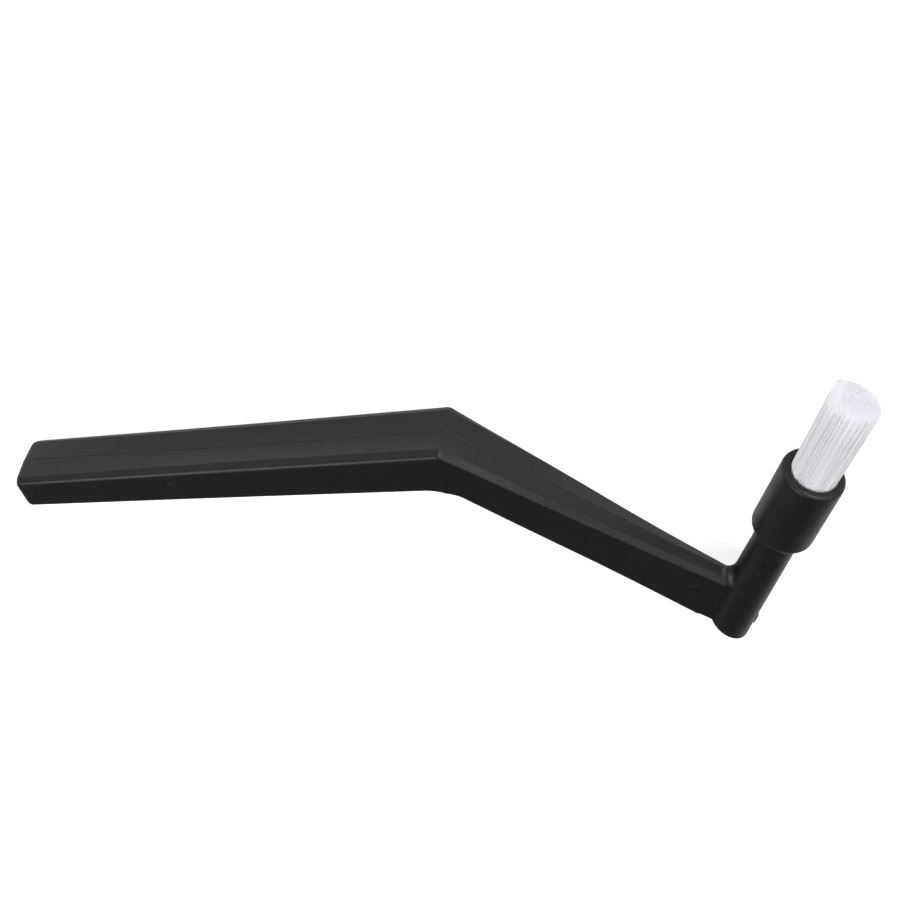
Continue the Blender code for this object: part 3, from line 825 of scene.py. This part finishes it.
# Clear-white nylon 6.12 filament, drawn: faint streaks along its length, a soft gloss
def drawnNylon():
    material, tree, shader = newMaterial("drawnNylon")
    place = addNode(tree, "ShaderNodeTexCoord").outputs["Object"]
    level = math.atan2(postWay.y, postWay.x)
    streaks = {"Rotation": (0, 0, -level), "Scale": (60.0, 2600.0, 2600.0)}
    along = addNode(tree, "ShaderNodeMapping", Vector=place, **streaks)
    streak = addNode(tree, "ShaderNodeTexNoise", Vector=along.outputs["Vector"], Scale=1.0, Detail=2.0)
    tint = mixColours(tree, streak.outputs["Fac"], "dddee5", "f2f2f5")
    tree.links.new(tint.outputs[2], shader.inputs["Base Color"])
    shader.inputs["Roughness"].default_value = 0.42
    shader.inputs["IOR"].default_value = 1.53
    return material


def dress(piece, material, body, node):
    piece.data.materials.clear()
    piece.data.materials.append(material)
    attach(piece, body)
    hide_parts(node)


stage = {
    "floorSize": 4.0,
    "floorBelow": 0.0002,
    "floorColour": "d6d6d6",
    "floorRoughness": 0.9,
    # what is added to the floor for the camera, and for the plastic's reflections
    "seenLift": 0.82,
    "mirroredLift": 0.30,
    # the room's brightness in front and behind near the floor, and overhead, and where it changes
    "frontLevel": 0.82,
    "backLevel": 0.36,
    "topLevel": 0.10,
    "frontFade": (-0.5, 0.6),
    "topFade": (0.22, 0.50),
    # place, size and watts: overhead on the grip's side, broad on the head's side, low in front
    "lamps": {
        "softbox": ((0.38, -0.28, 0.68), (0.45, 0.45), 4.2),
        "broadCard": ((-0.61, -0.22, 0.49), (0.90, 0.90), 3.8),
        "frontCard": ((-0.48, -0.60, 0.25), (0.35, 0.35), 2.8),
    },
}


def makeFloor():
    size = stage
    deselectAll()
    bpy.ops.mesh.primitive_plane_add(size=size["floorSize"], location=(0, 0, -size["floorBelow"]))
    floor = bpy.context.object
    floor.name = "floor"
    # a board painted light grey, matt
    material, tree, shader = newMaterial("paintedBoard")
    shader.inputs["Base Color"].default_value = fromHex(size["floorColour"])
    shader.inputs["Roughness"].default_value = size["floorRoughness"]
    shader.inputs["Specular IOR Level"].default_value = 0.0
    # what the camera sees of the floor is lifted to white, with a faint shadow left
    ray = addNode(tree, "ShaderNodeLightPath").outputs
    seen = addNode(
        tree, "ShaderNodeMath", {"operation": "MULTIPLY"}, i0=ray["Is Camera Ray"], i1=size["seenLift"]
    )
    lift = addNode(
        tree,
        "ShaderNodeMath",
        {"operation": "MULTIPLY_ADD"},
        i0=ray["Is Glossy Ray"],
        i1=size["mirroredLift"],
        i2=seen.outputs[0],
    )
    glow = addNode(tree, "ShaderNodeEmission", Color=(1, 1, 1, 1), Strength=lift.outputs[0])
    both = addNode(tree, "ShaderNodeAddShader", i0=shader.outputs[0], i1=glow.outputs[0])
    tree.links.new(both.outputs[0], tree.nodes["Material Output"].inputs["Surface"])
    floor.data.materials.append(material)


# A white room that is brightest in front near the floor, and dark overhead
def makeRoom():
    size = stage
    world = bpy.data.worlds.new("studio")
    world.use_nodes = True
    bpy.context.scene.world = world
    tree = world.node_tree
    background = tree.nodes["Background"]
    way = addNode(tree, "ShaderNodeTexCoord").outputs["Generated"]
    height = addNode(tree, "ShaderNodeSeparateXYZ", Vector=way).outputs["Z"]
    toFront = addNode(tree, "ShaderNodeVectorMath", {"operation": "DOT_PRODUCT"}, i0=way, i1=(0, -1, 0))

    def fade(value, reach, start, end):
        low, high = reach
        ends = {"From_Min": low, "From_Max": high, "To_Min": start, "To_Max": end}
        smooth = {"interpolation_type": "SMOOTHSTEP"}
        return addNode(tree, "ShaderNodeMapRange", smooth, Value=value, **ends)

    aside = fade(toFront.outputs["Value"], size["frontFade"], size["backLevel"], size["frontLevel"])
    level = fade(height, size["topFade"], aside.outputs["Result"], size["topLevel"])
    # the camera sees white past the floor
    ray = addNode(tree, "ShaderNodeLightPath").outputs["Is Camera Ray"]
    seen = addNode(tree, "ShaderNodeMath", {"operation": "MAXIMUM"}, i0=ray, i1=level.outputs["Result"])
    tree.links.new(seen.outputs[0], background.inputs["Strength"])
    background.inputs["Color"].default_value = (1, 1, 1, 1)


def makeLamps():
    for name, (place, extent, watts) in stage["lamps"].items():
        lamp = bpy.data.lights.new(name, "AREA")
        lamp.shape = "RECTANGLE"
        lamp.size, lamp.size_y = extent
        lamp.energy = watts
        holder = bpy.data.objects.new(name, lamp)
        bpy.context.scene.collection.objects.link(holder)
        holder.location = place
        holder.rotation_euler = (-Vector(place)).to_track_quat("-Z", "Y").to_euler()


# As it was fitted to the photo: its place from the bend, its axes, and its lens and sensor in mm
camera = {
    "fromBend": (-0.12196, -0.26593, 0.26596),
    "right": (-0.94978, 0.26717, -0.16294),
    "up": (-0.06633, -0.68074, -0.72952),
    "back": (-0.30582, -0.68207, 0.66427),
    "lens": 68.0,
    "sensorWidth": 36.0,
    "clipStart": 0.01,
}


def makeCamera():
    lens = bpy.data.cameras.new("camera")
    lens.lens = camera["lens"]
    lens.sensor_width = camera["sensorWidth"]
    lens.clip_start = camera["clipStart"]
    eye = bpy.data.objects.new("camera", lens)
    bpy.context.scene.collection.objects.link(eye)
    turn = Matrix((camera["right"], camera["up"], camera["back"])).transposed()
    eye.matrix_world = Matrix.Translation(bendCorner + Vector(camera["fromBend"])) @ turn.to_4x4()
    bpy.context.scene.camera = eye


makeCamera()
makeFloor()
makeRoom()
makeLamps()
plastic = mouldedPolypropylene()
nylon = drawnNylon()
dress(makeHandle(), plastic, "handle", "handle")
dress(makeCup(), plastic, "head", "brush_cup")
dress(makeTuft(), nylon, "head", "bristle_bundle")

bpy.context.scene.view_settings.view_transform = "Standard"
